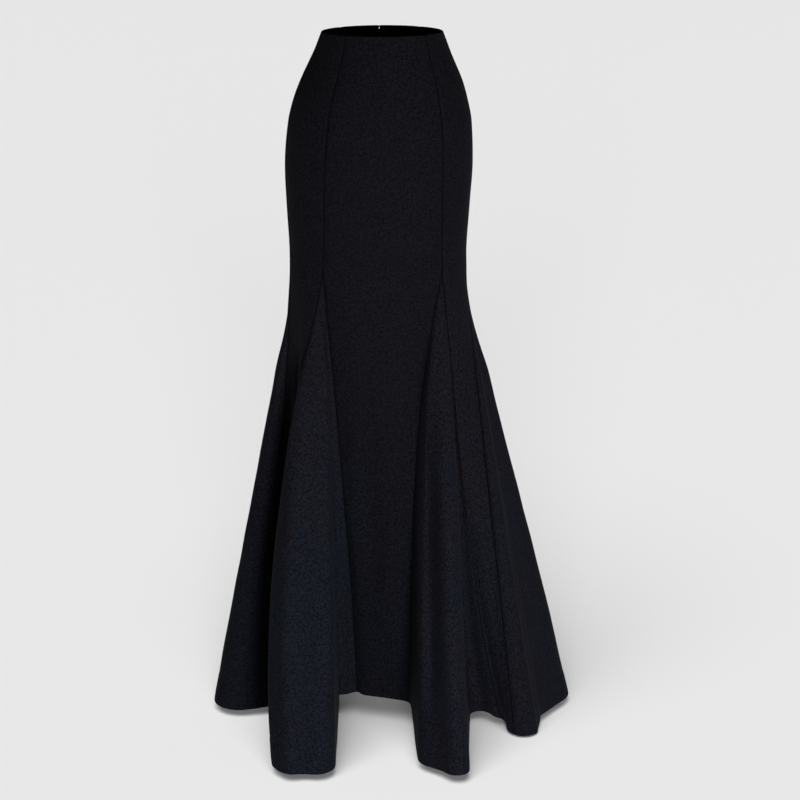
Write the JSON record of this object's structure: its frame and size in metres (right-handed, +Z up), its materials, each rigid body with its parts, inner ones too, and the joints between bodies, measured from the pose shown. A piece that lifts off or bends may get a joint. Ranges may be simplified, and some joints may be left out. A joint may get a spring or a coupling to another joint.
{
  "type": "mermaid fishtail skirt",
  "caption": "Floor-length mermaid skirt in matte black crepe, close-fitting to the thigh, with godets that fall in deep flutes to a fishtail hem.",
  "frame": {"origin": "centre of the waist opening, level with the waist edge", "axes": "+Z up; the front faces -Y, so +X is on the right as seen from the front"},
  "size_m": [0.6257, 0.5527, 1.1804],
  "materials": {
    "crepe": "matte black crepe suiting with a slight blue-violet cast, fine pebbled weave and a faint soft sheen",
    "zip_tape": "matte black woven polyester tape",
    "zip_metal": "semi-gloss black lacquer"
  },
  "bodies": {
    "skirt": {"front": "crepe", "side_front_right": "crepe", "side_front_left": "crepe", "side_back_right": "crepe", "side_back_left": "crepe", "back_right": "crepe", "back_left": "crepe", "godet_front_right": "crepe", "godet_front_left": "crepe", "godet_side_right": "crepe", "godet_side_left": "crepe", "godet_back_right": "crepe", "godet_back_left": "crepe", "zip_tape_right": "zip_tape", "zip_tape_left": "zip_tape", "zip_slider": "zip_metal"},
    "zip_pull": {"zip_pull": "zip_metal"}
  },
  "joints": [
    {"name": "zip_pull_swing", "type": "hinge", "parent": "skirt", "child": "zip_pull", "pos_m": [-0.00012, 0.08557, -0.00816], "axis": [1, 0, 0], "range_deg": [0, 150]}
  ]
}
